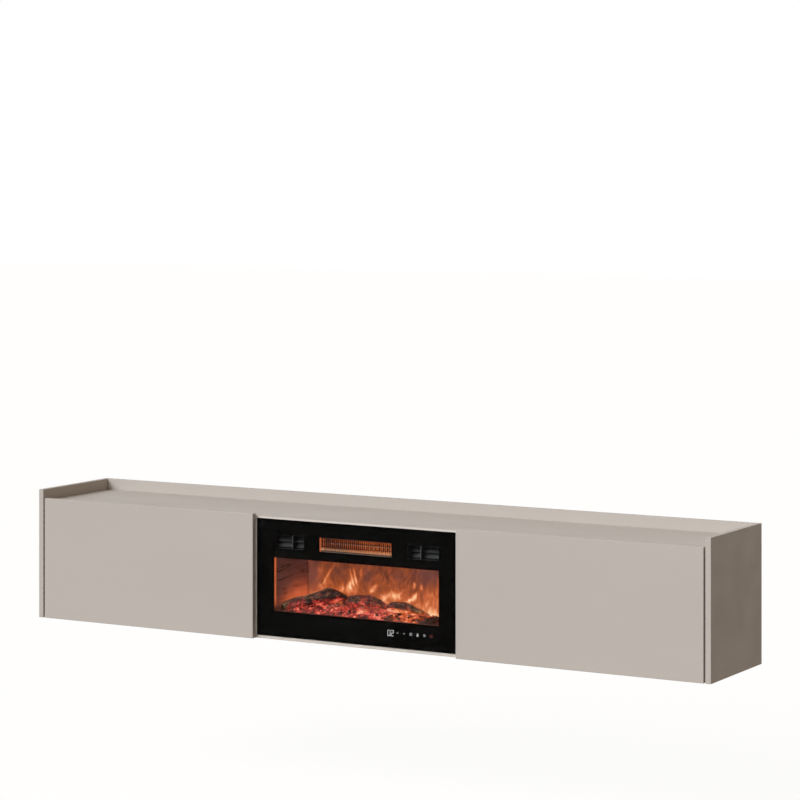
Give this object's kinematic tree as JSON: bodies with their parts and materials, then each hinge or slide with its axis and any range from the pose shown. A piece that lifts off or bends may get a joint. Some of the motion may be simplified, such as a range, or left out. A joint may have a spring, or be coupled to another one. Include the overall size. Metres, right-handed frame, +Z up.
{
  "type": "wall-hung tv stand with electric fireplace",
  "caption": "Long low wall-hung TV cabinet with a sunk tray top, drop-down doors either side and an electric log-effect fireplace with a black glass front in the middle.",
  "frame": {"origin": "on the wall, at the middle of the upper back rail's rear face", "axes": "+X to the right seen from the front, +Y towards the wall, +Z up"},
  "size_m": [2, 0.315, 0.351],
  "materials": {
    "carcase_panel": "light grey-beige foil on board, satin",
    "door_panel": "light grey-beige foil on board, satin",
    "back_sheet": "painted hardboard, matt",
    "zinc_steel": "zinc-plated steel",
    "front_glass": "polished tempered glass",
    "glass_print": "black ceramic print behind the glass",
    "frame_steel": "black powder coat",
    "casing_steel": "dark powder coat",
    "firebrick": "printed sheet, matt",
    "flame_picture": "translucent printed screen, lit from behind",
    "ember_bed": "translucent moulding, lit from below",
    "charred_log": "painted resin, matt",
    "aluminium": "plain aluminium",
    "grey_plastic": "moulded, matt",
    "black_plastic": "moulded, matt",
    "circuit_board": "solder resist, gloss"
  },
  "bodies": {
    "cabinet": {"left_side_panel": "carcase_panel", "right_side_panel": "carcase_panel", "top_panel": "carcase_panel", "bottom_panel": "carcase_panel", "left_partition": "carcase_panel", "right_partition": "carcase_panel", "upper_back_rail": "carcase_panel", "lower_back_rail": "carcase_panel", "left_back_panel": "back_sheet", "right_back_panel": "back_sheet", "left_hanging_bracket": "zinc_steel", "right_hanging_bracket": "zinc_steel", "blower_motor": "zinc_steel", "left_door_outer_hinge_arm": "zinc_steel", "left_door_inner_hinge_arm": "zinc_steel", "left_stay_post": "zinc_steel", "left_magnetic_catch": "grey_plastic", "right_door_outer_hinge_arm": "zinc_steel", "right_door_inner_hinge_arm": "zinc_steel", "right_stay_post": "zinc_steel", "right_magnetic_catch": "grey_plastic", "front_glass": "front_glass", "glass_print": "glass_print", "front_frame": "frame_steel", "firebox_liner": "firebrick", "flame_screen": "flame_picture", "ember_bed": "ember_bed", "log_rear_left": "charred_log", "log_rear_middle": "charred_log", "log_rear_right": "charred_log", "log_front_left": "charred_log", "log_front_middle": "charred_log", "outlet_grille": "aluminium", "heating_element": "aluminium", "spindle_bush": "grey_plastic", "spindle_motor": "grey_plastic", "led_strip": "circuit_board", "control_board": "circuit_board", "casing": "casing_steel", "rear_cover": "casing_steel", "heater_shelf": "casing_steel", "heater_duct": "casing_steel", "blower_housing": "casing_steel", "power_gland": "black_plastic", "left_vent": "black_plastic", "right_vent": "black_plastic"},
    "left_door": {"left_door": "door_panel", "left_door_outer_hinge_cup": "zinc_steel", "left_door_inner_hinge_cup": "zinc_steel", "left_stay_bracket": "zinc_steel", "left_strike_plate": "zinc_steel"},
    "right_door": {"right_door": "door_panel", "right_door_outer_hinge_cup": "zinc_steel", "right_door_inner_hinge_cup": "zinc_steel", "right_stay_bracket": "zinc_steel", "right_strike_plate": "zinc_steel"},
    "left_stay_arm": {"left_stay_arm": "zinc_steel"},
    "right_stay_arm": {"right_stay_arm": "zinc_steel"},
    "flame_spindle": {"flame_spindle": "aluminium"},
    "blower_wheel": {"blower_wheel": "black_plastic"}
  },
  "joints": [
    {"name": "left_door_hinge", "type": "hinge", "parent": "cabinet", "child": "left_door", "pos_m": [-0.64175, -0.311, -0.287], "axis": [1, 0, 0], "range_deg": [0, 90]},
    {"name": "left_stay_swing", "type": "hinge", "parent": "left_door", "child": "left_stay_arm", "pos_m": [-0.97755, -0.288, -0.15905], "axis": [1, 0, 0], "range_deg": [-45, 0]},
    {"name": "right_door_hinge", "type": "hinge", "parent": "cabinet", "child": "right_door", "pos_m": [0.64175, -0.311, -0.287], "axis": [1, 0, 0], "range_deg": [0, 90]},
    {"name": "right_stay_swing", "type": "hinge", "parent": "right_door", "child": "right_stay_arm", "pos_m": [0.97755, -0.288, -0.15905], "axis": [1, 0, 0], "range_deg": [-45, 0]},
    {"name": "spindle_spin", "type": "hinge", "parent": "cabinet", "child": "flame_spindle", "pos_m": [0, -0.104, -0.207], "axis": [1, 0, 0], "continuous": true},
    {"name": "blower_spin", "type": "hinge", "parent": "cabinet", "child": "blower_wheel", "pos_m": [0, -0.2171, -0.03185], "axis": [1, 0, 0], "continuous": true}
  ],
  "couplings": [
    {"joint": "left_stay_swing", "follows": "left_door_hinge", "ratio": -0.5},
    {"joint": "right_stay_swing", "follows": "right_door_hinge", "ratio": -0.5}
  ]
}
